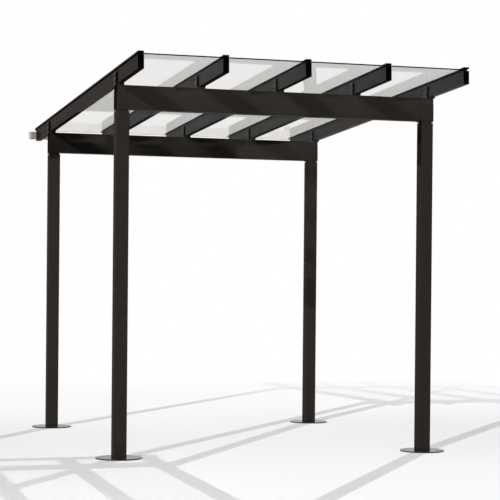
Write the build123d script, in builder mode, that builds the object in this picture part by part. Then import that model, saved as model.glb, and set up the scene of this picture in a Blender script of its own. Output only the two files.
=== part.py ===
"""Free-standing patio pergola with a sloping glass roof.

Four square posts on round base plates carry two level beams. Five rafters cross the beams,
fall to the rear and hold four glass panes under screwed cover strips. A gutter hangs on the
rafters' rear ends.

Millimetres. +X runs along the beams to the right, +Y from the high front to the low rear and
+Z up. The origin is on the ground under the centre of the roof's outline.
"""

import os
from math import atan, cos, sin

from build123d import *

# Posts
post_spacing_x = 2115.0
post_spacing_y = 2380.0
post_size = 85.0
post_wall = 3.0
post_corner = 5.0
clear_height = 2250.0

# Base plates
plate_diameter = 300.0
plate_thickness = 8.0
anchor_circle = 230.0
anchor_hole = 13.0
anchor_count = 4
socket_height = 60.0
socket_wall = 4.0

# Beams
beam_depth = 155.0
beam_width = 85.0
beam_wall = 3.0
beam_corner = 3.0
beam_cap_thickness = 4.0
beam_cap_plug = 18.0
beam_cap_rim = 9.0
beam_cap_recess = 1.5

# Post heads
head_plate = 3.0
head_plate_height = 118.0
head_web = 4.0
head_neck = 7.0
head_neck_inset = 8.0
head_flange = 3.0
head_spigot = 55.0

# Roof
roof_fall = 0.05
rafter_count = 5
rafter_width = 38.0
rafter_depth = 87.0
rafter_wall = 2.0
rafter_corner = 1.5
rafter_mid_web = 46.0
groove_heights = (20.0, 66.0)
groove_width = 5.0
groove_depth = 1.0
upstand_width = 8.0
screw_channel_width = 3.0
screw_channel_depth = 9.0
front_overhang = 625.0
rear_overhang = 555.0

# Glazing
glass_thickness = 8.0
glass_edge_gap = 3.0
glass_drip = 50.0
seal_thickness = 2.0
seal_width = 8.0
seal_stem = 3.0
seal_stem_depth = 1.8
cover_depth = 11.0
cover_wall = 2.0
cover_corner = 1.5
stop_thickness = 3.0
stop_lip = 8.0

# Rafter shoes and caps
shoe_base = 3.0
shoe_plate = 4.0
shoe_height = 82.0
shoe_bevel = 6.0
rafter_cap_thickness = 3.0
rafter_cap_plug = 12.0
cap_groove_width = 3.0
cap_groove_depth = 1.0

# Gutter
gutter_width = 110.0
gutter_front_height = 55.0
gutter_rear_height = 62.0
gutter_wall = 2.0
gutter_side = 40.0
gutter_drop = 36.0
gutter_round = 24.0
gutter_lip = 10.0
gutter_cap_thickness = 2.0
strap_width = 20.0
strap_thickness = 3.0
strap_tab = 16.0
outlet_diameter = 50.0
outlet_wall = 2.0
outlet_length = 45.0
outlet_flange = 66.0
outlet_inset = 90.0

# Play between pieces that slide into each other
fit = 0.25

# Places worked out from the sizes above
slope = atan(roof_fall)
slope_cos = cos(slope)
slope_sin = sin(slope)
cover_bottom = rafter_depth + 2 * seal_thickness + glass_thickness
roof_depth = cover_bottom + cover_depth
beam_length = post_spacing_x + post_size
rafter_pitch = (beam_length - rafter_width) / (rafter_count - 1)
rafter_xs = [(i - (rafter_count - 1) / 2) * rafter_pitch for i in range(rafter_count)]
bay_xs = [(a + b) / 2 for a, b in zip(rafter_xs, rafter_xs[1:])]
head_height = head_flange + head_neck + head_web

outline_length = (
    front_overhang + post_spacing_y + rear_overhang
    + rafter_cap_thickness * (1 + slope_cos) + gutter_width
)
rafter_front_y = -outline_length / 2 + rafter_cap_thickness * slope_cos
front_y = rafter_front_y + front_overhang
rear_y = front_y + post_spacing_y
rafter_rear_y = rear_y + rear_overhang
gutter_y = rafter_rear_y + rafter_cap_thickness

front_under = clear_height
rear_under = clear_height - roof_fall * post_spacing_y
rafter_front_z = (
    front_under + beam_depth + shoe_base + roof_fall * (beam_width / 2 + front_overhang)
)
glass_length = (rafter_rear_y - rafter_front_y) / slope_cos + glass_drip

# A plane square to the rafters at their front ends: x to the right, y up off the underside
rafter_end = Plane(
    origin=(0, rafter_front_y, rafter_front_z),
    x_dir=(1, 0, 0),
    z_dir=(0, -slope_cos, slope_sin),
)


def underside_z(y):
    """Height of the rafters' underside at a place along Y."""
    return rafter_front_z - roof_fall * (y - rafter_front_y)


def rafter_plane(x, along=0.0):
    """The plane square to a rafter, a distance down the slope from its front end."""
    return rafter_end.offset(-along).shift_origin(
        rafter_end.offset(-along).from_local_coords((x, 0, 0))
    )


def export(part, name):
    """Label a finished piece and write it under that name."""
    part.label = name
    export_step(part, f"parts/{name}.step")


os.makedirs("parts", exist_ok=True)

post_rows = {"front": (front_y, front_under), "rear": (rear_y, rear_under)}
post_columns = {"left": -post_spacing_x / 2, "right": post_spacing_x / 2}
post_bore = post_size - 2 * post_wall
plug_size = post_bore - 2 * fit
plug_bore = plug_size - 2 * socket_wall

for row, (post_y, under_z) in post_rows.items():
    for column, post_x in post_columns.items():
        foot = Plane((post_x, post_y, 0))
        post_top = under_z - head_height

        # A round plate with a square socket that the post slides over
        with BuildPart() as base_plate:
            with BuildSketch(foot):
                Circle(plate_diameter / 2)
            extrude(amount=plate_thickness)
            with BuildSketch(foot.offset(plate_thickness)):
                Rectangle(plug_size, plug_size)
                Rectangle(plug_bore, plug_bore, mode=Mode.SUBTRACT)
            extrude(amount=socket_height)
            with Locations(foot.offset(plate_thickness)):
                with PolarLocations(anchor_circle / 2, anchor_count, start_angle=45):
                    Hole(anchor_hole / 2, plate_thickness)
        export(base_plate.part, f"base_plate_{row}_{column}")

        with BuildPart() as post:
            with BuildSketch(foot.offset(plate_thickness)):
                RectangleRounded(post_size, post_size, post_corner)
                Rectangle(post_bore, post_bore, mode=Mode.SUBTRACT)
            extrude(amount=post_top - plate_thickness)
        export(post.part, f"post_{row}_{column}")

        # The cast head: a plug in the post, a flange on its rim, a neck and a saddle
        saddle_width = beam_width + 2 * (fit + head_plate)
        neck_size = post_size - 2 * head_neck_inset
        with BuildPart() as post_head:
            with BuildSketch(foot.offset(post_top - head_spigot)):
                Rectangle(plug_size, plug_size)
                Rectangle(plug_bore, plug_bore, mode=Mode.SUBTRACT)
            extrude(amount=head_spigot)
            with BuildSketch(foot.offset(post_top)):
                RectangleRounded(post_size, post_size, post_corner)
            extrude(amount=head_flange)
            with BuildSketch(foot.offset(post_top + head_flange)):
                Rectangle(neck_size, neck_size)
            extrude(amount=head_neck)
            with BuildSketch(foot.offset(under_z - head_web)):
                Rectangle(post_size, saddle_width)
            extrude(amount=head_web)
            with BuildSketch(foot.offset(under_z)):
                with Locations((0, saddle_width / 2), (0, -saddle_width / 2)):
                    Rectangle(post_size, 2 * head_plate)
                Rectangle(post_size, saddle_width, mode=Mode.INTERSECT)
            extrude(amount=head_plate_height)
            plate_corners = post_head.edges().filter_by(Axis.Y).group_by(Axis.Z)[-1]
            chamfer(plate_corners, head_plate)
        export(post_head.part, f"post_head_{row}_{column}")

for row, (beam_y, under_z) in post_rows.items():
    middle_z = under_z + beam_depth / 2
    tube_length = beam_length - 2 * beam_cap_thickness
    tube_end = Plane((-tube_length / 2, beam_y, middle_z), x_dir=(0, 1, 0), z_dir=(1, 0, 0))
    bore_depth = beam_depth - 2 * beam_wall
    bore_width = beam_width - 2 * beam_wall

    with BuildPart() as beam:
        with BuildSketch(tube_end):
            RectangleRounded(beam_width, beam_depth, beam_corner)
            Rectangle(bore_width, bore_depth, mode=Mode.SUBTRACT)
        extrude(amount=tube_length)
    export(beam.part, f"{row}_beam")

    # Moulded end caps: a plug in the tube and a flange with a shallow panel
    for column, side in (("left", -1), ("right", 1)):
        cap_face = Plane(
            (side * tube_length / 2, beam_y, middle_z), x_dir=(0, side, 0), z_dir=(side, 0, 0)
        )
        with BuildPart() as beam_cap:
            with BuildSketch(cap_face):
                RectangleRounded(beam_width, beam_depth, beam_corner)
            extrude(amount=beam_cap_thickness)
            chamfer(beam_cap.faces().sort_by(Axis.X)[-1 if side > 0 else 0].edges(), 1)
            with BuildSketch(cap_face.offset(beam_cap_thickness)):
                Rectangle(beam_width - 2 * beam_cap_rim, beam_depth - 2 * beam_cap_rim)
            extrude(amount=-beam_cap_recess, mode=Mode.SUBTRACT)
            with BuildSketch(cap_face):
                Rectangle(bore_width - 2 * fit, bore_depth - 2 * fit)
                offset(amount=-beam_wall, kind=Kind.INTERSECTION, mode=Mode.SUBTRACT)
            extrude(amount=-beam_cap_plug)
        export(beam_cap.part, f"{row}_beam_cap_{column}")

# The seal grooves and seals lie half way along the glass that bears on each shoulder
bearing = rafter_width / 2 - upstand_width / 2 - glass_edge_gap
seal_x = rafter_width / 2 - bearing / 2
chamber_width = rafter_width - 2 * (rafter_wall + groove_depth)
chamber_spans = [
    (rafter_wall, rafter_mid_web - rafter_wall / 2),
    (rafter_mid_web + rafter_wall / 2, rafter_depth - rafter_wall - seal_thickness),
]


def rafter_section():
    """The rafter's extruded section: grooved sides, two chambers and a screw upstand."""
    with Locations((0, rafter_depth / 2)):
        RectangleRounded(rafter_width, rafter_depth, rafter_corner)
    with Locations((0, rafter_depth - rafter_corner)):
        Rectangle(
            upstand_width,
            cover_bottom - rafter_depth + rafter_corner,
            align=(Align.CENTER, Align.MIN),
        )
    with Locations((0, cover_bottom)):
        Rectangle(
            screw_channel_width,
            screw_channel_depth,
            align=(Align.CENTER, Align.MAX),
            mode=Mode.SUBTRACT,
        )
    for height in groove_heights:
        with Locations((rafter_width / 2, height), (-rafter_width / 2, height)):
            Rectangle(2 * groove_depth, groove_width, mode=Mode.SUBTRACT)
    with Locations((seal_x, rafter_depth), (-seal_x, rafter_depth)):
        Rectangle(seal_stem, 2 * seal_stem_depth, mode=Mode.SUBTRACT)
    for low, high in chamber_spans:
        with Locations((0, (low + high) / 2)):
            Rectangle(chamber_width, high - low, mode=Mode.SUBTRACT)


rafter_cut = Plane((0, rafter_rear_y, 0), x_dir=(1, 0, 0), z_dir=(0, 1, 0))

for number, x in enumerate(rafter_xs, start=1):
    with BuildPart() as rafter:
        with BuildSketch(rafter_plane(x)):
            rafter_section()
        extrude(amount=-(glass_length + roof_depth))
        split(bisect_by=rafter_cut, keep=Keep.BOTTOM)
    export(rafter.part, f"rafter_{number}")

    # A hollow strip that clamps the glass, with a stem groove for each upper seal
    with BuildPart() as cover_strip:
        with BuildSketch(rafter_plane(x)) as cover_section:
            with Locations((0, cover_bottom)):
                Rectangle(rafter_width, cover_depth, align=(Align.CENTER, Align.MIN))
            top_corners = cover_section.vertices().group_by(Axis.Y)[-1]
            fillet(top_corners, cover_corner)
            with Locations((0, cover_bottom + 2 * cover_wall)):
                Rectangle(
                    rafter_width - 4 * cover_wall,
                    cover_depth - 3 * cover_wall,
                    align=(Align.CENTER, Align.MIN),
                    mode=Mode.SUBTRACT,
                )
            with Locations((seal_x, cover_bottom), (-seal_x, cover_bottom)):
                Rectangle(seal_stem, 2 * seal_stem_depth, mode=Mode.SUBTRACT)
        extrude(amount=-glass_length)
    export(cover_strip.part, f"cover_strip_{number}")

pane_width = rafter_pitch - upstand_width - 2 * glass_edge_gap
for number, x in enumerate(bay_xs, start=1):
    with BuildPart() as glass_pane:
        with BuildSketch(rafter_plane(x)):
            with Locations((0, rafter_depth + seal_thickness)):
                Rectangle(pane_width, glass_thickness, align=(Align.CENTER, Align.MIN))
        extrude(amount=-glass_length)
    export(glass_pane.part, f"glass_pane_{number}")

# Each pane's two long edges lie between a lower and an upper seal
seal_lines = [(x, side * seal_x) for x in rafter_xs for side in (-1, 1)][1:-1]
seal_top = rafter_depth + seal_thickness
lower_length = (rafter_rear_y - rafter_front_y - seal_top * slope_sin) / slope_cos

with BuildPart() as seals_lower:
    for x, shift in seal_lines:
        with BuildSketch(rafter_plane(x)):
            with Locations((shift, rafter_depth)):
                Rectangle(seal_width, seal_thickness, align=(Align.CENTER, Align.MIN))
                Rectangle(
                    seal_stem - 2 * fit, seal_stem_depth - fit, align=(Align.CENTER, Align.MAX)
                )
        extrude(amount=-lower_length)
export(seals_lower.part, "glazing_seals_lower")

with BuildPart() as seals_upper:
    for x, shift in seal_lines:
        with BuildSketch(rafter_plane(x)):
            with Locations((shift, cover_bottom)):
                Rectangle(seal_width, seal_thickness, align=(Align.CENTER, Align.MAX))
                Rectangle(
                    seal_stem - 2 * fit, seal_stem_depth - fit, align=(Align.CENTER, Align.MIN)
                )
        extrude(amount=-glass_length)
export(seals_upper.part, "glazing_seals_upper")

# Front caps close the rafter and its cover strip, and leave the glass edge free
with BuildPart() as front_caps:
    for x in rafter_xs:
        with BuildSketch(rafter_plane(x)):
            Rectangle(rafter_width, rafter_depth, align=(Align.CENTER, Align.MIN))
            Rectangle(upstand_width, roof_depth, align=(Align.CENTER, Align.MIN))
            with Locations((0, cover_bottom)):
                Rectangle(rafter_width, cover_depth, align=(Align.CENTER, Align.MIN))
        extrude(amount=rafter_cap_thickness)
        with BuildSketch(rafter_plane(x, -rafter_cap_thickness)):
            Rectangle(cap_groove_width, rafter_depth, align=(Align.CENTER, Align.MIN))
        extrude(amount=-cap_groove_depth, mode=Mode.SUBTRACT)
        with BuildSketch(rafter_plane(x)):
            for low, high in chamber_spans:
                with Locations((0, (low + high) / 2)):
                    Rectangle(chamber_width - 2 * rafter_wall, high - low - 2 * rafter_wall)
        extrude(amount=-rafter_cap_plug)
export(front_caps.part, "rafter_front_caps")

# Rear caps stand plumb between the rafters' ends and the gutter
rear_foot_z = underside_z(rafter_rear_y)
with BuildPart() as rear_caps:
    for x in rafter_xs:
        rear_end = Plane((x, rafter_rear_y, rear_foot_z), x_dir=(-1, 0, 0), z_dir=(0, 1, 0))
        with BuildSketch(rear_end):
            Rectangle(
                rafter_width, rafter_depth / slope_cos, align=(Align.CENTER, Align.MIN)
            )
        extrude(amount=rafter_cap_thickness)
export(rear_caps.part, "rafter_rear_caps")

# Stops on the cover strips' rear ends hook over the corners of the glass
with BuildPart() as glass_stops:
    for x in rafter_xs:
        with BuildSketch(rafter_plane(x, glass_length)):
            with Locations((0, cover_bottom - seal_thickness - stop_lip)):
                Rectangle(
                    rafter_width,
                    cover_depth + seal_thickness + stop_lip,
                    align=(Align.CENTER, Align.MIN),
                )
        extrude(amount=-stop_thickness)
export(glass_stops.part, "glass_stops")

# Shoes: two cheeks and a base that turns the beam's level top into the rafters' slope
for row, (beam_y, under_z) in post_rows.items():
    top_z = under_z + beam_depth
    low_y = beam_y - beam_width / 2
    high_y = beam_y + beam_width / 2
    cheek_x = rafter_width / 2 + fit
    with BuildPart() as shoes:
        for x in rafter_xs:
            with BuildSketch(Plane.YZ.offset(x - cheek_x - shoe_plate)):
                Polygon(
                    (low_y, top_z),
                    (high_y, top_z),
                    (high_y, underside_z(high_y)),
                    (low_y, underside_z(low_y)),
                    align=None,
                )
            extrude(amount=2 * (cheek_x + shoe_plate))
            for cheek in (x - cheek_x - shoe_plate, x + cheek_x):
                with BuildSketch(Plane.YZ.offset(cheek)):
                    Polygon(
                        (low_y, top_z),
                        (high_y, top_z),
                        (high_y, underside_z(high_y) + shoe_height - shoe_bevel),
                        (high_y - shoe_bevel, underside_z(high_y - shoe_bevel) + shoe_height),
                        (low_y + shoe_bevel, underside_z(low_y + shoe_bevel) + shoe_height),
                        (low_y, underside_z(low_y) + shoe_height - shoe_bevel),
                        align=None,
                    )
                extrude(amount=shoe_plate)
    export(shoes.part, f"{row}_rafter_shoes")

# The gutter's section: a straight front wall, a rounded rear corner and a turned-in lip
gutter_top_z = underside_z(rafter_rear_y) + (roof_depth / slope_cos) - gutter_drop
gutter_floor_z = gutter_top_z - gutter_front_height
gutter_back_y = gutter_y + gutter_width
gutter_length = beam_length + 2 * gutter_side
gutter_lip_z = gutter_floor_z + gutter_rear_height


def gutter_outline(inset, top_front, top_rear):
    """The closed outline of the gutter's section, moved in by the wall's thickness."""
    radius = gutter_round - inset
    front = gutter_y + inset
    back = gutter_back_y - inset
    floor = gutter_floor_z + inset
    with BuildLine() as outline:
        Polyline((back, floor + radius), (back, top_rear), (front, top_front), (front, floor))
        Line((front, floor), (back - radius, floor))
        RadiusArc((back - radius, floor), (back, floor + radius), -radius)
    return outline.edges()


gutter_end = Plane.YZ.offset(-gutter_length / 2 + gutter_cap_thickness)
outlet_x = gutter_length / 2 - outlet_inset
outlet_y = gutter_y + (gutter_width - gutter_round) / 2

with BuildPart() as gutter:
    with BuildSketch(gutter_end):
        make_face(gutter_outline(0, gutter_top_z, gutter_lip_z))
    extrude(amount=gutter_length - 2 * gutter_cap_thickness)
    with BuildSketch(gutter_end):
        make_face(
            gutter_outline(gutter_wall, gutter_top_z + gutter_wall, gutter_lip_z + gutter_wall)
        )
    extrude(amount=gutter_length - 2 * gutter_cap_thickness, mode=Mode.SUBTRACT)
    with BuildSketch(gutter_end):
        with Locations((gutter_back_y, gutter_lip_z)):
            Rectangle(gutter_lip, gutter_wall, align=(Align.MAX, Align.MAX))
    extrude(amount=gutter_length - 2 * gutter_cap_thickness)
    with Locations((outlet_x, outlet_y, gutter_floor_z + gutter_wall)):
        Hole(outlet_diameter / 2 - outlet_wall, gutter_wall)
export(gutter.part, "gutter")

for column, side in (("left", -1), ("right", 1)):
    with BuildPart() as gutter_cap:
        with BuildSketch(Plane.YZ.offset(side * (gutter_length / 2 - gutter_cap_thickness))):
            make_face(gutter_outline(0, gutter_top_z, gutter_lip_z))
        extrude(amount=side * gutter_cap_thickness)
    export(gutter_cap.part, f"gutter_end_{column}")

# Straps hold the gutter's mouth: a tab on the front wall and a bar to the lip
strap_z = gutter_top_z
strap_front_y = gutter_y + gutter_wall
strap_back_y = gutter_back_y - gutter_wall
with BuildPart() as straps:
    for x in rafter_xs:
        with BuildSketch(Plane.YZ.offset(x - strap_width / 2)):
            with Locations((strap_front_y, strap_z)):
                Rectangle(
                    strap_back_y - strap_front_y, strap_thickness, align=(Align.MIN, Align.MAX)
                )
                Rectangle(strap_thickness, strap_tab, align=(Align.MIN, Align.MAX))
        extrude(amount=strap_width)
export(straps.part, "gutter_straps")

# The outlet is fixed under the gutter's floor by its flange, and a downpipe slides over it
outlet_bore = outlet_diameter - 2 * outlet_wall
with BuildPart() as outlet:
    with BuildSketch(Plane((outlet_x, outlet_y, gutter_floor_z - outlet_wall))):
        Rectangle(outlet_flange, outlet_flange)
    extrude(amount=outlet_wall)
    with BuildSketch(Plane((outlet_x, outlet_y, gutter_floor_z - outlet_length))):
        Circle(outlet_diameter / 2)
    extrude(amount=outlet_length)
    with Locations((outlet_x, outlet_y, gutter_floor_z)):
        Hole(outlet_bore / 2)
export(outlet.part, "gutter_outlet")
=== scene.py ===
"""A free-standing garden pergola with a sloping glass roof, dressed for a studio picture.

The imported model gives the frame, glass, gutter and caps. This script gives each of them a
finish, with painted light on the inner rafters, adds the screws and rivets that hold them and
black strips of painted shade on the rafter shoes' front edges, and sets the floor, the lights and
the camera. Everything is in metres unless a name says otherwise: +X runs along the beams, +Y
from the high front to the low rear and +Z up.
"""

from __future__ import annotations

import logging
import math
from collections.abc import Iterable, Sequence
from dataclasses import dataclass
from enum import Enum

import bmesh
import bpy
from mathutils import Matrix, Vector

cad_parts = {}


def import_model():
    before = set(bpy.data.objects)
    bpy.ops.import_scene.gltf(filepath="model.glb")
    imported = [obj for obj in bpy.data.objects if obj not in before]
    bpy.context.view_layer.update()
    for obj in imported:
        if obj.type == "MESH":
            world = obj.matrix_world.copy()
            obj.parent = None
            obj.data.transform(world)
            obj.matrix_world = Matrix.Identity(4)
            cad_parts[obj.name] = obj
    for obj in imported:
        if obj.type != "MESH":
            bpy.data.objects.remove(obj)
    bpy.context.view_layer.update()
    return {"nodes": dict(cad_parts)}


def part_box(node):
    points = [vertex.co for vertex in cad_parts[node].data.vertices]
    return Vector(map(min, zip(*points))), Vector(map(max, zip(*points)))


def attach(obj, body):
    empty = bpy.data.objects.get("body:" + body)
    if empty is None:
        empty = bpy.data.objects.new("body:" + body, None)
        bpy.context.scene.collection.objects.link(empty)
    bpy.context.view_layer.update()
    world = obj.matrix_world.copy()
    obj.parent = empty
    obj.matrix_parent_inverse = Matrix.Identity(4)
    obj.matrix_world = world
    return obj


log = logging.getLogger("pergola")

ROOT = "root"
PHOTO_SIDE = 500
SENSOR_MM = 36.0
MM_PER_M = 1000
MERGE_DISTANCE = 1e-6
WHITE = (1.0, 1.0, 1.0, 1.0)

ROWS = ("front", "rear")
SIDES = ("left", "right")
CORNERS = tuple(f"{row}_{side}" for row in ROWS for side in SIDES)
RAFTER_NUMBERS = range(1, 6)
PANE_NUMBERS = range(1, 5)

# The roof falls one part in twenty towards +Y
ROOF_FALL = 0.05
ROOF_COS = math.cos(math.atan(ROOF_FALL))
ROOF_SIN = math.sin(math.atan(ROOF_FALL))

LEFT, RIGHT = Vector((-1, 0, 0)), Vector((1, 0, 0))
FRONT, REAR = Vector((0, -1, 0)), Vector((0, 1, 0))
DOWN = Vector((0, 0, -1))
OFF_THE_ROOF = Vector((0, ROOF_SIN, ROOF_COS))
DOWN_THE_ROOF = Vector((0, ROOF_COS, -ROOF_SIN))

# The colour sockets of a Mix node, which go by number as its kinds share their names
MIX_SHARE, MIX_FIRST, MIX_SECOND, MIX_RESULT = 0, 6, 7, 2

# Nearly all of a noise's values lie between these two
NOISE_LOW, NOISE_HIGH = 0.3, 0.7

# A head's outline in shares of its radius and of its height: the side, then either kind of top
HEAD_SIDE = ((1.0, 0.3), (0.82, 0.8), (0.5, 1.0))
HEAD_SOCKET = ((0.44, 1.0), (0.42, 0.35), (0.0, 0.35))
HEAD_DOME = ((0.0, 1.08),)

# A point on a surface and the way out of it
Place = tuple[Vector, Vector]


class Slot(Enum):
    """The record's material slots; no piece here is given one."""

    FRAME = "frame_coat"
    CAP = "cap_plastic"
    GUTTER = "gutter_metal"


class Drive(Enum):
    """What the top of a fastener's head has."""

    HEX_SOCKET = "hexagonal socket"
    PLAIN = "plain dome"


def linear(code: str) -> tuple[float, float, float, float]:
    """Turn an sRGB hex colour into the linear colour that a socket takes.

    Args:
        code: Six hex digits after a hash sign.

    Returns:
        Red, green and blue in linear light, and an alpha of one.
    """
    parts = (int(code[i : i + 2], 16) / 255 for i in (1, 3, 5))
    red, green, blue = (
        c / 12.92 if c <= 0.04045 else ((c + 0.055) / 1.055) ** 2.4 for c in parts
    )
    return red, green, blue, 1.0


def add_node(
    tree: bpy.types.NodeTree,
    kind: str,
    settings: dict[str | int, object] | None = None,
    links: dict[str | int, bpy.types.NodeSocket] | None = None,
    **attributes: object,
) -> bpy.types.Node:
    """Add one node with its socket values, its links and its own attributes.

    Args:
        tree: The node tree that gets the node.
        kind: The node's type name.
        settings: Values for input sockets, by name or number.
        links: Output sockets to link into input sockets, by name or number.
        **attributes: Attributes of the node itself.

    Returns:
        The new node.
    """
    node = tree.nodes.new(kind)
    for name, value in attributes.items():
        setattr(node, name, value)
    for name, value in (settings or {}).items():
        node.inputs[name].default_value = value
    for name, source in (links or {}).items():
        tree.links.new(source, node.inputs[name])
    return node


def blank_material(name: str) -> tuple[bpy.types.Material, bpy.types.NodeTree]:
    """Make a node material with nothing in it.

    Args:
        name: The material's name.

    Returns:
        The material and its empty node tree.
    """
    material = bpy.data.materials.new(name)
    material.use_nodes = True
    material.node_tree.nodes.clear()
    return material, material.node_tree


def pattern(
    tree: bpy.types.NodeTree,
    size_mm: float,
    detail: float = 2.0,
    stretch: Sequence[float] = (1.0, 1.0, 1.0),
    limits: tuple[float, float] | None = None,
) -> bpy.types.NodeSocket:
    """Lay a cloudy pattern over the piece, with grains of a real size.

    Args:
        tree: The material's node tree.
        size_mm: The width of one grain in millimetres.
        detail: How many finer layers the pattern has.
        stretch: How many times longer a grain is along each axis.
        limits: What the pattern's usual values are spread to, or nothing to leave them.

    Returns:
        The pattern's value, fixed to the piece.
    """
    where = add_node(tree, "ShaderNodeTexCoord")
    scale = tuple(MM_PER_M / size_mm / s for s in stretch)
    placed = add_node(
        tree, "ShaderNodeMapping", {"Scale": scale}, {"Vector": where.outputs["Object"]}
    )
    grains = add_node(
        tree,
        "ShaderNodeTexNoise",
        {"Scale": 1.0, "Detail": detail, "Roughness": 0.5},
        {"Vector": placed.outputs["Vector"]},
    )
    if limits is None:
        return grains.outputs["Fac"]
    low, high = limits
    mapped = add_node(
        tree,
        "ShaderNodeMapRange",
        {"From Min": NOISE_LOW, "From Max": NOISE_HIGH, "To Min": low, "To Max": high},
        {"Value": grains.outputs["Fac"]},
    )
    return mapped.outputs["Result"]


@dataclass(frozen=True)
class CoatedMetal:
    """Powder sprayed on metal and baked to a smooth skin, with the faint ripple of its flow.

    Its gloss is that of a matting powder: it mirrors what it faces, and hardly flares at a low
    angle. The warm sheen is the brown that such a black shows when it is seen from the side.

    Attributes:
        name: The material's name.
        colour: The coat's colour.
        second_colour: Its colour where it is thin; on a SideDarkenedCoat, its darker colour beyond
            the roof's sides.
        roughness: The mean roughness.
        gloss: The level of the mirror image, seen square on.
        flare: The power by which that level falls towards a low angle.
        gloss_colour: The mirror image's tint.
        sheen: How much sheen there is.
    """

    name: str
    colour: str
    second_colour: str
    roughness: float
    gloss: float
    flare: float
    gloss_colour: str = "#ffffff"
    sheen: float = 0.0
    sheen_colour: str = "#ff8a3c"
    sheen_roughness: float = 0.3
    patch_mm: float = 180.0
    ripple_mm: float = 3.0
    ripple_depth_mm: float = 0.002
    drift_mm: float = 60.0
    roughness_drift: float = 0.02

    def material(self) -> bpy.types.Material:
        """Build the finish's material.

        Returns:
            The material.
        """
        material, tree = blank_material(self.name)
        low, high = self.roughness - self.roughness_drift, self.roughness + self.roughness_drift
        colour = add_node(
            tree,
            "ShaderNodeMix",
            {MIX_FIRST: linear(self.colour), MIX_SECOND: linear(self.second_colour)},
            {MIX_SHARE: self.second_share(tree)},
            data_type="RGBA",
        )
        ripple = add_node(
            tree,
            "ShaderNodeBump",
            {"Strength": 1.0, "Distance": self.ripple_depth_mm / MM_PER_M},
            {"Height": pattern(tree, self.ripple_mm, 1.0)},
        )
        shader = add_node(
            tree,
            "ShaderNodeBsdfPrincipled",
            {
                "Specular Tint": linear(self.gloss_colour),
                "Sheen Weight": self.sheen,
                "Sheen Roughness": self.sheen_roughness,
                "Sheen Tint": linear(self.sheen_colour),
            },
            {
                "Base Color": colour.outputs[MIX_RESULT],
                "Roughness": pattern(tree, self.drift_mm, 4.0, limits=(low, high)),
                "Normal": ripple.outputs["Normal"],
                "Specular IOR Level": self.gloss_level(tree),
            },
        )
        add_node(tree, "ShaderNodeOutputMaterial", links={"Surface": shader.outputs["BSDF"]})
        return material

    def second_share(self, tree: bpy.types.NodeTree) -> bpy.types.NodeSocket:
        """Let the coat drift from full, which is zero, to thin, which is one."""
        return pattern(tree, self.patch_mm, 3.0, limits=(0.0, 1.0))

    def gloss_level(self, tree: bpy.types.NodeTree) -> bpy.types.NodeSocket:
        """Lower the gloss towards a low angle.

        Args:
            tree: The material's node tree.

        Returns:
            The level: full where the surface faces the eye, falling by the flare's power.
        """
        tilt = add_node(tree, "ShaderNodeLayerWeight", {"Blend": 0.5})
        square_on = add_node(
            tree, "ShaderNodeMath", {0: 1.0}, {1: tilt.outputs["Facing"]}, operation="SUBTRACT"
        )
        falling = add_node(
            tree, "ShaderNodeMath", {1: self.flare}, {0: square_on.outputs[0]}, operation="POWER"
        )
        level = add_node(
            tree, "ShaderNodeMath", {1: self.gloss}, {0: falling.outputs[0]}, operation="MULTIPLY"
        )
        return level.outputs[0]


@dataclass(frozen=True)
class SideDarkenedCoat(CoatedMetal):
    """A coat that takes its second, darker colour beyond the roof's sides, and faint patches of it
    under the roof.

    Attributes:
        speckle: How far the darker colour reaches under the roof, in patches, from 0 to 1.
        roof_half_width: How far out the roof goes.
    """

    speckle: float = 0.12
    roof_half_width: float = 1.1

    def second_share(self, tree: bpy.types.NodeTree) -> bpy.types.NodeSocket:
        """Turn the coat to its darker colour where the piece is further out than the roof.

        Args:
            tree: The material's node tree.

        Returns:
            One where the coat is thin and zero where it is full.
        """
        where = add_node(tree, "ShaderNodeTexCoord")
        split = add_node(tree, "ShaderNodeSeparateXYZ", links={0: where.outputs["Object"]})
        out = add_node(tree, "ShaderNodeMath", links={0: split.outputs["X"]}, operation="ABSOLUTE")
        beyond_roof = add_node(
            tree,
            "ShaderNodeMath",
            {1: self.roof_half_width},
            {0: out.outputs[0]},
            operation="GREATER_THAN",
        )
        patch = pattern(tree, self.patch_mm, 3.0, limits=(0.0, self.speckle))
        darker = add_node(
            tree, "ShaderNodeMath", links={0: beyond_roof.outputs[0], 1: patch}, operation="MAXIMUM"
        )
        return darker.outputs[0]


@dataclass(frozen=True)
class MouldedBlack:
    """Nylon or rubber out of a mould or die, with the tool's fine grain.

    Attributes:
        name: The material's name.
        colour: The fresh colour.
        worn_colour: The colour of worn patches.
        roughness: The mean roughness.
        gloss: The level of the mirror image.
    """

    name: str
    colour: str
    worn_colour: str
    roughness: float
    gloss: float
    patch_mm: float = 40.0
    grain_mm: float = 0.8
    grain_depth_mm: float = 0.03
    roughness_drift: float = 0.05

    def material(self) -> bpy.types.Material:
        """Build the finish's material.

        Returns:
            The material.
        """
        material, tree = blank_material(self.name)
        low, high = self.roughness - self.roughness_drift, self.roughness + self.roughness_drift
        colour = add_node(
            tree,
            "ShaderNodeMix",
            {MIX_FIRST: linear(self.colour), MIX_SECOND: linear(self.worn_colour)},
            {MIX_SHARE: pattern(tree, self.patch_mm, 3.0, limits=(0.0, 1.0))},
            data_type="RGBA",
        )
        grain = add_node(
            tree,
            "ShaderNodeBump",
            {"Strength": 1.0, "Distance": self.grain_depth_mm / MM_PER_M},
            {"Height": pattern(tree, self.grain_mm)},
        )
        shader = add_node(
            tree,
            "ShaderNodeBsdfPrincipled",
            {"Specular IOR Level": self.gloss},
            {
                "Base Color": colour.outputs[MIX_RESULT],
                "Roughness": pattern(tree, self.grain_mm, limits=(low, high)),
                "Normal": grain.outputs["Normal"],
            },
        )
        add_node(tree, "ShaderNodeOutputMaterial", links={"Surface": shader.outputs["BSDF"]})
        return material


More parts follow.
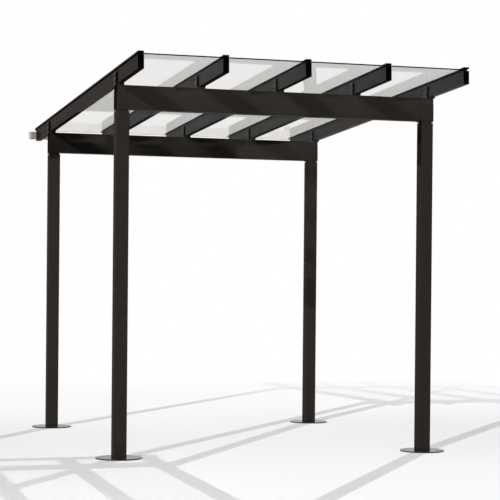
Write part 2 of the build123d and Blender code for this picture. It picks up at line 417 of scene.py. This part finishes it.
@dataclass(frozen=True)
class ToughenedGlass:
    """Clear float glass, heat-toughened on rollers, with faces coated against glare.

    The rollers leave a very shallow wave along the pane, which bends what the glass mirrors. The
    coat is why the IOR is low. The ground edges look dark, as along them the light has the whole
    pane to cross.

    Attributes:
        name: The material's name.
        tint: The colour of what is seen through a face.
        face_tint: What a lamp's light keeps at each face.
        edge_tint: The colour of what is seen through an edge.
        smear: The highest roughness that cleaning leaves.
        edge_limit: An edge is where the normal rises by less than this.
    """

    name: str
    tint: str
    face_tint: str
    edge_tint: str
    ior: float = 1.08
    wave_mm: float = 260.0
    wave_stretch: tuple[float, float, float] = (3.0, 1.0, 1.0)
    wave_depth_mm: float = 0.004
    smear_mm: float = 90.0
    smear: float = 0.004
    edge_limit: float = 0.5

    def material(self) -> bpy.types.Material:
        """Build the finish's material; a lamp's light loses the face tint at each face.

        Returns:
            The material.
        """
        material, tree = blank_material(self.name)
        colour = add_node(
            tree,
            "ShaderNodeMix",
            {MIX_FIRST: linear(self.tint), MIX_SECOND: linear(self.edge_tint)},
            {MIX_SHARE: self.edge_mask(tree)},
            data_type="RGBA",
        )
        wave = add_node(
            tree,
            "ShaderNodeBump",
            {"Strength": 1.0, "Distance": self.wave_depth_mm / MM_PER_M},
            {"Height": pattern(tree, self.wave_mm, 0.0, self.wave_stretch)},
        )
        shader = add_node(
            tree,
            "ShaderNodeBsdfPrincipled",
            {"Transmission Weight": 1.0, "IOR": self.ior},
            {
                "Base Color": colour.outputs[MIX_RESULT],
                "Roughness": pattern(tree, self.smear_mm, 4.0, limits=(0.0, self.smear)),
                "Normal": wave.outputs["Normal"],
            },
        )
        clear = add_node(tree, "ShaderNodeBsdfTransparent", {"Color": linear(self.face_tint)})
        path = add_node(tree, "ShaderNodeLightPath")
        both = add_node(
            tree,
            "ShaderNodeMixShader",
            links={
                0: path.outputs["Is Shadow Ray"],
                1: shader.outputs["BSDF"],
                2: clear.outputs["BSDF"],
            },
        )
        add_node(tree, "ShaderNodeOutputMaterial", links={"Surface": both.outputs["Shader"]})
        return material

    def edge_mask(self, tree: bpy.types.NodeTree) -> bpy.types.NodeSocket:
        """Pick out the pane's edges, whose normals lie near level.

        Args:
            tree: The material's node tree.

        Returns:
            One on an edge and zero on the two faces.
        """
        where = add_node(tree, "ShaderNodeTexCoord")
        split = add_node(tree, "ShaderNodeSeparateXYZ", links={0: where.outputs["Normal"]})
        upright = add_node(
            tree, "ShaderNodeMath", links={0: split.outputs["Z"]}, operation="ABSOLUTE"
        )
        edge = add_node(
            tree,
            "ShaderNodeMath",
            {1: self.edge_limit},
            {0: upright.outputs[0]},
            operation="LESS_THAN",
        )
        return edge.outputs[0]


@dataclass(frozen=True)
class BareMetal:
    """Metal left bare: drawn through a die or turned, so its finest marks run one way.

    Attributes:
        name: The material's name.
        colour: The bright colour.
        dull_colour: The colour of dull patches.
        roughness: The mean roughness.
        mark_mm: The width of one mark.
        mark_stretch: How many times longer a mark is along each axis.
    """

    name: str
    colour: str
    dull_colour: str
    roughness: float
    mark_mm: float = 1.2
    mark_stretch: tuple[float, float, float] = (60.0, 1.0, 1.0)
    mark_depth_mm: float = 0.01
    cloud_mm: float = 120.0
    roughness_drift: float = 0.08

    def material(self) -> bpy.types.Material:
        """Build the finish's material.

        Returns:
            The material.
        """
        material, tree = blank_material(self.name)
        low, high = self.roughness - self.roughness_drift, self.roughness + self.roughness_drift
        colour = add_node(
            tree,
            "ShaderNodeMix",
            {MIX_FIRST: linear(self.colour), MIX_SECOND: linear(self.dull_colour)},
            {MIX_SHARE: pattern(tree, self.cloud_mm, 4.0, limits=(0.0, 1.0))},
            data_type="RGBA",
        )
        marks = add_node(
            tree,
            "ShaderNodeBump",
            {"Strength": 1.0, "Distance": self.mark_depth_mm / MM_PER_M},
            {"Height": pattern(tree, self.mark_mm, 2.0, self.mark_stretch)},
        )
        shader = add_node(
            tree,
            "ShaderNodeBsdfPrincipled",
            {"Metallic": 1.0},
            {
                "Base Color": colour.outputs[MIX_RESULT],
                "Roughness": pattern(tree, self.mark_mm, 2.0, self.mark_stretch, (low, high)),
                "Normal": marks.outputs["Normal"],
            },
        )
        add_node(tree, "ShaderNodeOutputMaterial", links={"Surface": shader.outputs["BSDF"]})
        return material


# Black-brown powder coat on the aluminium frame: dark, smooth, and mirrors what it faces
FRAME_COAT = CoatedMetal(
    "black_brown_powder_coat", "#1a1816", "#1d1b19", 0.04, 0.22, 3.2, "#ffe7da", sheen=0.06
)

# Painted light: the frame's powder on the inner rafters, coloured lighter and cooler for the cool
# light that the panes throw back
PAINTED_LIGHT_RAFTER_COAT = CoatedMetal("inner_rafter_painted_light_coat", "#242424", "#282827", 0.08, 0.19, 2.55)

# The same powder on the rafter shoes, rougher and a shade lighter still
SHOE_COAT = CoatedMetal("satin_shoe_powder_coat", "#343332", "#393836", 0.2, 0.19, 2.6)

# The same powder on the steel base plates, which lie flat and flare in the low light
BASE_COAT = CoatedMetal("base_plate_powder_coat", "#242120", "#292624", 0.16, 0.17, 0.65)

# Black powder on the glazing strips: a little darker and drier than the frame
COVER_COAT = CoatedMetal("glazing_strip_powder_coat", "#191716", "#1e1b1a", 0.25, 0.1, 2.4)

# Glass-filled nylon caps and trims, moulded dead black
CAP_NYLON = MouldedBlack("moulded_black_nylon", "#020202", "#050505", 0.5, 0.001)

# Extruded rubber glazing seal, a soft matt black
SEAL_RUBBER = MouldedBlack("extruded_seal_rubber", "#0c0c0c", "#131312", 0.7, 0.1)

# Toughened clear glass, near colourless through its thickness
ROOF_GLASS = ToughenedGlass("toughened_clear_glass", "#e6e5e3", "#f4f4f3", "#080808")

# Pale grey powder on the aluminium gutter: near matt, bright where the sun meets its front, and
# darker beyond the roof's sides
GUTTER_COAT = SideDarkenedCoat("pale_grey_gutter_coat", "#dad7d1", "#868380", 0.42, 0.35, 1.0)

# Mill-finish aluminium gutter ends: drawn sheet with faint lines that catch the light
END_METAL = BareMetal("mill_finish_aluminium", "#b4b1ac", "#9d9a95", 0.38)

# Blackened screws in the frame: the oil-black skin is a shade darker than the powder coat
SCREW_BLACK = CoatedMetal("oil_blackened_screw_steel", "#151413", "#1b1918", 0.3, 0.08, 2.4)

# Stainless screws and rivets: turned heads with fine marks and a bright rim
SCREW_STEEL = BareMetal("turned_stainless_steel", "#a5a29d", "#8f8c88", 0.3, 0.4, (1.0, 1.0, 1.0))


def dress(names: Iterable[str], finish: bpy.types.Material) -> None:
    """Give CAD nodes one finish.

    Args:
        names: The nodes' names.
        finish: The material they get.
    """
    for name in names:
        mesh = bpy.data.objects[name].data
        mesh.materials.clear()
        mesh.materials.append(finish)


def add_piece(
    name: str, shape: bmesh.types.BMesh, finish: bpy.types.Material
) -> None:
    """Make a finished shape a piece that rides on the frame.

    Args:
        name: The piece's name.
        shape: Its shape, which is freed.
        finish: Its material.
    """
    mesh = bpy.data.meshes.new(name)
    shape.to_mesh(mesh)
    shape.free()
    mesh.materials.append(finish)
    piece = bpy.data.objects.new(name, mesh)
    bpy.context.scene.collection.objects.link(piece)
    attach(piece, ROOT)
    log.info("%s: %d faces", name, len(mesh.polygons))


def middle(node: str) -> Vector:
    """Give the middle of a CAD node's box, in metres."""
    low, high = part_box(node)
    return (low + high) / 2


@dataclass(frozen=True)
class Fastener:
    """The visible head of a screw or rivet, in millimetres.

    Attributes:
        diameter: The head's diameter.
        height: Its height above the surface.
        drive: What its top has.
        sink: How far its foot goes into the surface.
        sides: How many faces it has around.
    """

    diameter: float
    height: float
    drive: Drive = Drive.HEX_SOCKET
    sink: float = 0.2
    sides: int = 12

    def outline(self) -> list[tuple[float, float]]:
        """Draw the head's outline from the middle of its foot to its axis.

        Returns:
            Pairs of radius and height.
        """
        radius = self.diameter / 2
        top = HEAD_SOCKET if self.drive is Drive.HEX_SOCKET else HEAD_DOME
        above = [(r * radius, h * self.height) for r, h in HEAD_SIDE + top]
        return [(0.0, -self.sink), (radius, -self.sink), *above]

    def form(self) -> bpy.types.Mesh:
        """Turn the outline into a closed head that stands up along Z.

        Returns:
            The head's mesh, in metres.
        """
        shape = bmesh.new()
        line = [
            shape.verts.new((r / MM_PER_M, 0.0, z / MM_PER_M)) for r, z in self.outline()
        ]
        edges = [shape.edges.new(pair) for pair in zip(line, line[1:])]
        bmesh.ops.spin(
            shape,
            geom=line + edges,
            cent=(0, 0, 0),
            axis=(0, 0, 1),
            angle=math.tau,
            steps=self.sides,
            use_merge=True,
        )
        bmesh.ops.remove_doubles(shape, verts=shape.verts, dist=MERGE_DISTANCE)
        if self.drive is Drive.HEX_SOCKET:
            self.flatten_socket(shape)
        bmesh.ops.recalc_face_normals(shape, faces=shape.faces)
        mesh = bpy.data.meshes.new("fastener_form")
        shape.to_mesh(mesh)
        shape.free()
        return mesh

    def flatten_socket(self, shape: bmesh.types.BMesh) -> None:
        """Pull every second point of the round socket in, so that it has six flat sides.

        Args:
            shape: The turned head.
        """
        socket_share = (HEAD_SOCKET[0][0] + HEAD_SIDE[-1][0]) / 2
        reach = socket_share * self.diameter / 2 / MM_PER_M
        step = math.pi / 6
        for vert in shape.verts:
            if MERGE_DISTANCE < vert.co.xy.length < reach:
                turn = round(math.atan2(vert.co.y, vert.co.x) / step)
                if turn % 2:
                    vert.co.x *= math.cos(step)
                    vert.co.y *= math.cos(step)

    def fit(
        self, name: str, places: Sequence[Place], finish: bpy.types.Material
    ) -> None:
        """Put a head at each place, as one piece that rides on the frame.

        Args:
            name: The piece's name.
            places: Points on a surface, each with the way out of it.
            finish: The heads' material.
        """
        form = self.form()
        shape = bmesh.new()
        for point, outward in places:
            start = len(shape.verts)
            shape.from_mesh(form)
            shape.verts.ensure_lookup_table()
            turn = outward.to_track_quat("Z", "Y").to_matrix().to_4x4()
            bmesh.ops.transform(
                shape, matrix=Matrix.Translation(point) @ turn, verts=shape.verts[start:]
            )
        bpy.data.meshes.remove(form)
        add_piece(name, shape, finish)


@dataclass
class Posts:
    """Four posts on round base plates, with their heads and the screws in them.

    Attributes:
        head_height: The height of the plates that hold the beam.
        low_row: The lower screws' height on a plate.
        high_row: The upper screws' height on it.
        column: How far the screws lie from its middle.
        post_drop: How far under the post's top the plug's screws lie.
    """

    head_height: float = 0.118
    low_row: float = 0.019
    high_row: float = 0.103
    column: float = 0.022
    post_drop: float = 0.025

    def build(self, coat: bpy.types.Material, base: bpy.types.Material) -> None:
        """Dress the posts and add their screws.

        Args:
            coat: The frame's finish.
            base: The base plates' finish.
        """
        dress([f"base_plate_{corner}" for corner in CORNERS], base)
        dress([f"post_{corner}" for corner in CORNERS], coat)
        dress([f"post_head_{corner}" for corner in CORNERS], coat)
        black = SCREW_BLACK.material()
        plate_places = [p for corner in CORNERS for p in self.plate_places(corner)]
        Fastener(11.0, 2.6).fit("head_plate_screws", plate_places, black)
        post_places = [p for corner in CORNERS for p in self.post_places(corner)]
        Fastener(11.0, 4.0).fit("post_plug_screws", post_places, black)

    def plate_places(self, corner: str) -> list[Place]:
        """Find the four screws in each plate of one head.

        Args:
            corner: Which post.

        Returns:
            Points on the plates, each with the way out.
        """
        low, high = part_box(f"post_head_{corner}")
        x = (low.x + high.x) / 2
        under = high.z - self.head_height
        return [
            (Vector((x + side, y, under + row)), out)
            for y, out in ((low.y, FRONT), (high.y, REAR))
            for side in (-self.column, self.column)
            for row in (self.low_row, self.high_row)
        ]

    def post_places(self, corner: str) -> list[Place]:
        """Find the screws through a post's sides into its plug.

        Args:
            corner: Which post.

        Returns:
            Points on the post, each with the way out.
        """
        low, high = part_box(f"post_{corner}")
        y = (low.y + high.y) / 2
        z = high.z - self.post_drop
        return [(Vector((low.x, y, z)), LEFT), (Vector((high.x, y, z)), RIGHT)]


@dataclass
class Beams:
    """The two level beams and their end caps."""

    def build(self, coat: bpy.types.Material, cap: bpy.types.Material) -> None:
        """Dress the beams in the frame's finish and their caps in the caps' finish."""
        dress([f"{row}_beam" for row in ROWS], coat)
        dress([f"{row}_beam_cap_{side}" for row in ROWS for side in SIDES], cap)


@dataclass
class Rafters:
    """Five rafters, their caps, and the shoes that hold them on the beams.

    Attributes:
        play: The gap between a rafter and a cheek of its shoe.
        cheek: A cheek's thickness.
        bevel: The bevel on its upper corners.
        reach: How far the screws lie from its middle, along the rafter.
        drops: How far under its top they lie.
        shade_strip_width: The width of the black strip of painted shade on its front edge.
        shade_strip_depth: The strip's depth, of which shade_strip_bite lies in the cheek.
        shade_strip_round: The size of the rounding on the strip's edges.
    """

    play: float = 0.00025
    cheek: float = 0.004
    bevel: float = 0.006
    reach: float = 0.026
    drops: tuple[float, float] = (0.024, 0.062)
    shade_strip_width: float = 0.0098
    shade_strip_depth: float = 0.0032
    shade_strip_bite: float = 0.0002
    shade_strip_round: float = 0.0011
    shoes: tuple[str, str] = ("front_rafter_shoes", "rear_rafter_shoes")

    def build(
        self,
        coat: bpy.types.Material,
        inner_painted_light: bpy.types.Material,
        shoe: bpy.types.Material,
        cap: bpy.types.Material,
    ) -> None:
        """Dress the rafters, screw their shoes to them and put black strips of painted shade on
        the shoes' front edges.

        Args:
            coat: The frame's finish, for the rafter at the left end.
            inner_painted_light: The other rafters' finish, a lighter, cooler copy of the frame's
                coat for painted light.
            shoe: The shoes' finish.
            cap: The caps' finish.
        """
        dress(["rafter_1"], coat)
        # Painted light: rafters 2 to 5 take a lighter, cooler copy of the frame's coat
        dress([f"rafter_{n}" for n in RAFTER_NUMBERS[1:]], inner_painted_light)
        dress(self.shoes, shoe)
        dress(["rafter_front_caps", "rafter_rear_caps"], cap)
        every = [(shoes, number) for shoes in self.shoes for number in RAFTER_NUMBERS]
        places = [p for shoes, number in every for p in self.cheek_places(shoes, number)]
        Fastener(11.0, 4.5, Drive.PLAIN, sides=8).fit(
            "rafter_shoe_screws", places, SCREW_BLACK.material()
        )
        # Painted shade: black strips in the caps' black on the shoes' front edges stand for the
        # shade there
        shape = bmesh.new()
        for shoes, number in every:
            self.add_shade_strips(shape, shoes, number)
        add_piece("shoe_edge_painted_shade_strips", shape, cap)

    def add_shade_strips(self, shape: bmesh.types.BMesh, shoes: str, number: int) -> None:
        """Put rounded black strips of painted shade on the front edges of the two cheeks of one
        shoe.

        Args:
            shape: The mesh that gets the strips.
            shoes: The node with that row of shoes.
            number: Which rafter.
        """
        shoe_low, shoe_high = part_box(shoes)
        low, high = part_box(f"rafter_{number}")
        off = (high.x - low.x) / 2 + self.play + self.shade_strip_width / 2
        top = shoe_high.z - self.bevel
        height = top - shoe_low.z
        y = shoe_low.y - self.shade_strip_depth / 2 + self.shade_strip_bite
        size = Matrix.Diagonal((self.shade_strip_width, self.shade_strip_depth, height, 1.0))
        for side in (-1, 1):
            place = Vector(((low.x + high.x) / 2 + side * off, y, top - height / 2))
            made = bmesh.ops.create_cube(shape, size=1.0, matrix=Matrix.Translation(place) @ size)
            edges = {edge for vert in made["verts"] for edge in vert.link_edges}
            bmesh.ops.bevel(
                shape,
                geom=list(edges),
                offset=self.shade_strip_round,
                segments=2,
                profile=0.5,
                affect="EDGES",
                material=-1,
            )

    def cheek_places(self, shoes: str, number: int) -> list[Place]:
        """Find the two by two screws in each cheek of one shoe.

        Args:
            shoes: The node with that row of shoes.
            number: Which rafter.

        Returns:
            Points on the cheeks, each with the way out.
        """
        shoe_low, shoe_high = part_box(shoes)
        low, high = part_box(f"rafter_{number}")
        x = (low.x + high.x) / 2
        out_x = (high.x - low.x) / 2 + self.play + self.cheek
        y = (shoe_low.y + shoe_high.y) / 2
        top = shoe_high.z - ROOF_FALL * (y - shoe_low.y - self.bevel)
        return [
            (Vector((x + way.x * out_x, y + along, top - ROOF_FALL * along - drop)), way)
            for way in (LEFT, RIGHT)
            for along in (-self.reach, self.reach)
            for drop in self.drops
        ]


@dataclass
class Glazing:
    """The glass panes, their seals, and the strips and stops that hold them.

    Attributes:
        first: How far the first screw lies from a strip's front end.
        screws: How many screws there are in a strip.
        stop_thickness: A stop's thickness.
        stop_foot: The height at a stop's foot that is left out in placing its screw.
        stop_share: How far down the rest of the stop the screw lies.
    """

    first: float = 0.12
    screws: int = 12
    stop_thickness: float = 0.003
    stop_foot: float = 0.006
    stop_share: float = 0.28

    def build(
        self, glass: bpy.types.Material, seal: bpy.types.Material, cover: bpy.types.Material
    ) -> None:
        """Dress the glazing and screw its strips down.

        Args:
            glass: The panes' finish.
            seal: The seals' finish.
            cover: The strips' finish.
        """
        dress([f"glass_pane_{n}" for n in PANE_NUMBERS], glass)
        dress(["glazing_seals_lower", "glazing_seals_upper"], seal)
        dress([f"cover_strip_{n}" for n in RAFTER_NUMBERS], cover)
        dress(["glass_stops"], cover)
        steel = SCREW_STEEL.material()
        places = [p for n in RAFTER_NUMBERS for p in self.strip_places(n)]
        Fastener(10.0, 0.6).fit("cover_strip_screws", places, steel)
        stops = [self.stop_place(n) for n in RAFTER_NUMBERS]
        Fastener(7.0, 2.0).fit("glass_stop_screws", stops, steel)

    def strip_places(self, number: int) -> list[Place]:
        """Find the screws along the top of one strip, evenly spaced.

        Args:
            number: Which strip.

        Returns:
            Points on the strip, each with the way off the roof.
        """
        low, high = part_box(f"cover_strip_{number}")
        x = (low.x + high.x) / 2
        length = (high.y - low.y) / ROOF_COS
        pitch = (length - 2 * self.first) / (self.screws - 1)
        front = Vector((x, low.y, high.z))
        return [
            (front + DOWN_THE_ROOF * (self.first + i * pitch), OFF_THE_ROOF)
            for i in range(self.screws)
        ]

    def stop_place(self, number: int) -> Place:
        """Find the screw in the stop at the rear end of one strip.

        Args:
            number: Which strip.

        Returns:
            The point on the stop and the way out of it.
        """
        low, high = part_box("glass_stops")
        x = middle(f"cover_strip_{number}").x
        height = (high.z - low.z) - self.stop_foot
        top = Vector((x, high.y, high.z - self.stop_thickness * ROOF_SIN))
        return top - OFF_THE_ROOF * height * self.stop_share, DOWN_THE_ROOF


@dataclass
class Gutter:
    """The gutter with its ends, straps and outlet, and the rivets in them.

    Attributes:
        strap: A strap's thickness.
        tab_drop: How far under its top the rivet in its tab lies.
        flange: The thickness of the outlet's flange.
        corner: How far the flange's rivets lie from its middle, along X and Y.
    """

    strap: float = 0.003
    tab_drop: float = 0.010
    flange: float = 0.002
    corner: float = 0.0275

    def build(self, coat: bpy.types.Material, end: bpy.types.Material) -> None:
        """Dress the gutter and add its rivets.

        Args:
            coat: The finish of the gutter, its straps and its outlet.
            end: The finish of its two ends.
        """
        dress(["gutter", "gutter_straps", "gutter_outlet"], coat)
        dress([f"gutter_end_{side}" for side in SIDES], end)
        steel = SCREW_STEEL.material()
        rivet = Fastener(7.0, 1.6, Drive.PLAIN)
        rivet.fit("gutter_strap_rivets", self.strap_places(), steel)
        rivet.fit("outlet_rivets", self.flange_places(), steel)

    def strap_places(self) -> list[Place]:
        """Find the rivet in each strap's tab, inside the gutter's front wall.

        Returns:
            Points on the tabs, each with the way out.
        """
        straps_low, straps_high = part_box("gutter_straps")
        y = straps_low.y + self.strap
        z = straps_high.z - self.tab_drop
        return [(Vector((middle(f"rafter_{n}").x, y, z)), REAR) for n in RAFTER_NUMBERS]

    def flange_places(self) -> list[Place]:
        """Find the rivets in the corners of the outlet's flange.

        Returns:
            Points under the flange, each with the way down.
        """
        low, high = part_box("gutter_outlet")
        centre = (low + high) / 2
        z = high.z - self.flange
        return [
            (Vector((centre.x + a * self.corner, centre.y + b * self.corner, z)), DOWN)
            for a in (-1, 1)
            for b in (-1, 1)
        ]


@dataclass
class Studio:
    """The pale floor, the two lamps, the soft surround and the camera.

    Attributes:
        floor_colour: The floor's colour in the open.
        painted_shade_colour: Its colour under the roof's middle, darker there for painted shade.
        floor_bounce: Its colour as the light it throws back sees it.
        shade_across: What a metre across counts beside one from front to rear, for the painted
            shade.
        shade_reach: How far from the middle the painted shade's grading ends.
        near_share: How much of the background's white shows in the floor near the object.
        near_radius: How far out that share holds.
        far_radius: Where the floor is all background.
        surround: The strength of the light from around.
        front_way: The way the front lamp's light goes, and rear_way the rear lamp's.
        lamp_spread: How wide a lamp looks, in degrees.
        camera_at: Where the camera stands, turned by yaw, pitch and roll in degrees.
        focal_px: Its focal length in pixels of the photograph.
        shift: How far the picture's middle lies off its axis, in picture sides.
    """

    floor_side: float = 240.0
    floor_colour: str = "#f2f2f2"
    # Painted shade: the floor's colour under the roof's middle
    painted_shade_colour: str = "#dedede"
    floor_bounce: str = "#959595"
    shade_across: float = 0.45
    shade_reach: float = 3.5
    near_share: float = 0.22
    near_radius: float = 2.5
    far_radius: float = 8.5
    surround: float = 0.25
    front_lamp: float = 3.2
    front_way: tuple[float, float, float] = (1.443, 1.856, -1.0)
    rear_lamp: float = 2.2
    rear_way: tuple[float, float, float] = (-0.838, -1.258, -1.0)
    lamp_spread: float = 0.2
    lamp_distance: float = 4.0
    camera_at: tuple[float, float, float] = (-3.471885, -11.939488, 1.170605)
    yaw: float = 18.056025
    pitch: float = -0.222446
    roll: float = 0.516360
    focal_px: float = 1698.162
    shift: tuple[float, float] = (-0.06, 0.07)
    clip: tuple[float, float] = (0.1, 500.0)

    def build(self) -> None:
        """Make everything around the object."""
        self.add_world()
        self.add_floor()
        self.add_lamp("front_left_lamp", self.front_lamp, self.front_way)
        self.add_lamp("rear_right_lamp", self.rear_lamp, self.rear_way)
        self.add_camera()

    def add_world(self) -> None:
        """Make a soft grey surround that the camera, gloss and glass see as white."""
        world = bpy.data.worlds.new("studio_surround")
        world.use_nodes = True
        tree = world.node_tree
        tree.nodes.clear()
        soft, bright = (
            add_node(tree, "ShaderNodeBackground", {"Color": WHITE, "Strength": strength})
            for strength in (self.surround, 1.0)
        )
        both = add_node(
            tree,
            "ShaderNodeMixShader",
            links={0: self.seen(tree), 1: soft.outputs[0], 2: bright.outputs[0]},
        )
        add_node(tree, "ShaderNodeOutputWorld", links={"Surface": both.outputs[0]})
        bpy.context.scene.world = world

    def seen(self, tree: bpy.types.NodeTree) -> bpy.types.NodeSocket:
        """Pick out the rays that see the background: camera, glossy and transmission.

        Args:
            tree: The node tree.

        Returns:
            One for such a ray and zero for any other.
        """
        path = add_node(tree, "ShaderNodeLightPath")
        total = path.outputs["Is Camera Ray"]
        for ray in ("Is Glossy Ray", "Is Transmission Ray"):
            total = add_node(
                tree, "ShaderNodeMath", links={0: total, 1: path.outputs[ray]}, operation="MAXIMUM"
            ).outputs[0]
        return total

    def add_floor(self) -> None:
        """Make the floor."""
        shape = bmesh.new()
        bmesh.ops.create_grid(shape, x_segments=1, y_segments=1, size=self.floor_side / 2)
        mesh = bpy.data.meshes.new("studio_floor")
        shape.to_mesh(mesh)
        shape.free()
        mesh.materials.append(self.floor_material())
        floor = bpy.data.objects.new("studio_floor", mesh)
        bpy.context.scene.collection.objects.link(floor)

    def floor_material(self) -> bpy.types.Material:
        """Make the floor's matt white paint, with painted shade under the roof's middle, which
        fades into the background far away.

        Returns:
            The material.
        """
        material, tree = blank_material("studio_floor_paint")
        place = add_node(tree, "ShaderNodeTexCoord").outputs["Object"]
        fade = self.grade(tree, place, (self.near_radius, self.far_radius), self.near_share)
        flat = add_node(
            tree, "ShaderNodeMapping", {"Scale": (self.shade_across, 1.0, 1.0)}, {"Vector": place}
        )
        shade = self.grade(tree, flat.outputs["Vector"], (0.0, self.shade_reach))
        seen = self.seen(tree)
        # Painted shade: the floor's colour turns darker towards the roof's middle, grading out to
        # the open floor's colour
        painted_shade_mix = add_node(
            tree,
            "ShaderNodeMix",
            {MIX_FIRST: linear(self.painted_shade_colour), MIX_SECOND: linear(self.floor_colour)},
            {MIX_SHARE: shade},
            data_type="RGBA",
        )
        colour = add_node(
            tree,
            "ShaderNodeMix",
            {MIX_FIRST: linear(self.floor_bounce)},
            {MIX_SHARE: seen, MIX_SECOND: painted_shade_mix.outputs[MIX_RESULT]},
            data_type="RGBA",
        )
        paint = add_node(
            tree, "ShaderNodeBsdfDiffuse", links={"Color": colour.outputs[MIX_RESULT]}
        )
        glow = add_node(tree, "ShaderNodeEmission", {"Color": WHITE, "Strength": 1.0})
        share = add_node(tree, "ShaderNodeMath", links={0: fade, 1: seen}, operation="MULTIPLY")
        both = add_node(
            tree,
            "ShaderNodeMixShader",
            links={0: share.outputs[0], 1: paint.outputs[0], 2: glow.outputs[0]},
        )
        add_node(tree, "ShaderNodeOutputMaterial", links={"Surface": both.outputs[0]})
        return material

    def grade(
        self,
        tree: bpy.types.NodeTree,
        place: bpy.types.NodeSocket,
        radii: tuple[float, float],
        least: float = 0.0,
    ) -> bpy.types.NodeSocket:
        """Let a value rise to one with the distance from the middle of the floor.

        Args:
            tree: The material's node tree.
            place: The coordinates of the point.
            radii: Where the rise starts and where it ends.
            least: The value where it starts.

        Returns:
            The value.
        """
        away = add_node(tree, "ShaderNodeVectorMath", links={0: place}, operation="LENGTH")
        rise = add_node(
            tree,
            "ShaderNodeMapRange",
            {"From Min": radii[0], "From Max": radii[1], "To Min": least},
            {"Value": away.outputs["Value"]},
            interpolation_type="SMOOTHSTEP",
        )
        return rise.outputs["Result"]

    def add_lamp(self, name: str, strength: float, way: Sequence[float]) -> None:
        """Add a distant lamp.

        Args:
            name: The lamp's name.
            strength: Its strength.
            way: The way its light goes.
        """
        data = bpy.data.lights.new(name, "SUN")
        data.energy = strength
        data.angle = math.radians(self.lamp_spread)
        lamp = bpy.data.objects.new(name, data)
        lamp.rotation_mode = "QUATERNION"
        lamp.rotation_quaternion = Vector(way).to_track_quat("-Z", "Y")
        lamp.location = -Vector(way) * self.lamp_distance
        bpy.context.scene.collection.objects.link(lamp)

    def add_camera(self) -> None:
        """Put the camera where the photograph was taken from."""
        yaw, pitch, roll = (math.radians(a) for a in (self.yaw, self.pitch, self.roll))
        ahead = Vector(
            (math.sin(yaw) * math.cos(pitch), math.cos(yaw) * math.cos(pitch), math.sin(pitch))
        )
        right = Vector((math.cos(yaw), -math.sin(yaw), 0.0))
        up = right.cross(ahead)
        turned = right * math.cos(roll) + up * math.sin(roll)
        upright = up * math.cos(roll) - right * math.sin(roll)
        axes = Matrix((turned, upright, -ahead)).transposed()
        data = bpy.data.cameras.new("photo_camera")
        data.sensor_width = SENSOR_MM
        data.lens = self.focal_px / PHOTO_SIDE * SENSOR_MM
        data.shift_x, data.shift_y = self.shift
        data.clip_start, data.clip_end = self.clip
        camera = bpy.data.objects.new("photo_camera", data)
        camera.matrix_world = Matrix.Translation(self.camera_at) @ axes.to_4x4()
        bpy.context.scene.collection.objects.link(camera)
        bpy.context.scene.camera = camera


def main() -> None:
    """Load the frame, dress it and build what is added."""
    logging.basicConfig(level=logging.INFO, format="%(name)s: %(message)s")
    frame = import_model()
    log.info("%d CAD nodes", len(frame["nodes"]))
    bpy.context.scene.view_settings.view_transform = "Standard"

    coat, cap, cover = FRAME_COAT.material(), CAP_NYLON.material(), COVER_COAT.material()
    Posts().build(coat, BASE_COAT.material())
    Beams().build(coat, cap)
    Rafters().build(coat, PAINTED_LIGHT_RAFTER_COAT.material(), SHOE_COAT.material(), cap)
    Glazing().build(ROOF_GLASS.material(), SEAL_RUBBER.material(), cover)
    Gutter().build(GUTTER_COAT.material(), END_METAL.material())
    Studio().build()


if __name__ == "__main__":
    main()
